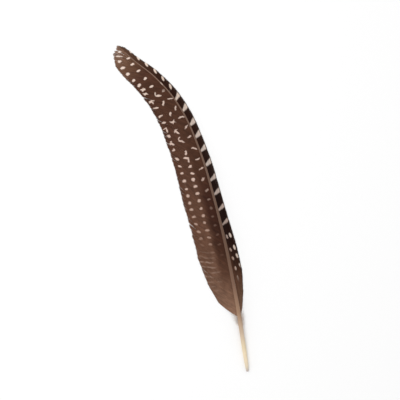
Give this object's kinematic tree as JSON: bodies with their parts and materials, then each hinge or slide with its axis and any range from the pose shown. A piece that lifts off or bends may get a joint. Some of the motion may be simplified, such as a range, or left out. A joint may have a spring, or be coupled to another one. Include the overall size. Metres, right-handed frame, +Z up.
{
  "type": "guinea fowl feather",
  "caption": "Bowed wing feather of a guinea fowl lying flat, with a bare quill, a wide spotted inner vane and a narrow barred outer vane.",
  "frame": {"origin": "middle of the feather's box, on the surface that it lies on", "axes": "+Y along the straight line from the quill end to the tip, +X towards the narrow outer vane, +Z up out of the feather's upper side"},
  "size_m": [0.0306, 0.19, 0.0036],
  "materials": {
    "vane": "soft satin barbs, dark warm brown with pale pinkish spots, and near black with cream bars on the outer vane",
    "quill": "smooth keratin, cream at the bare quill, greying brown up the shaft"
  },
  "bodies": {
    "root": {"feather": "vane"}
  },
  "joints": []
}
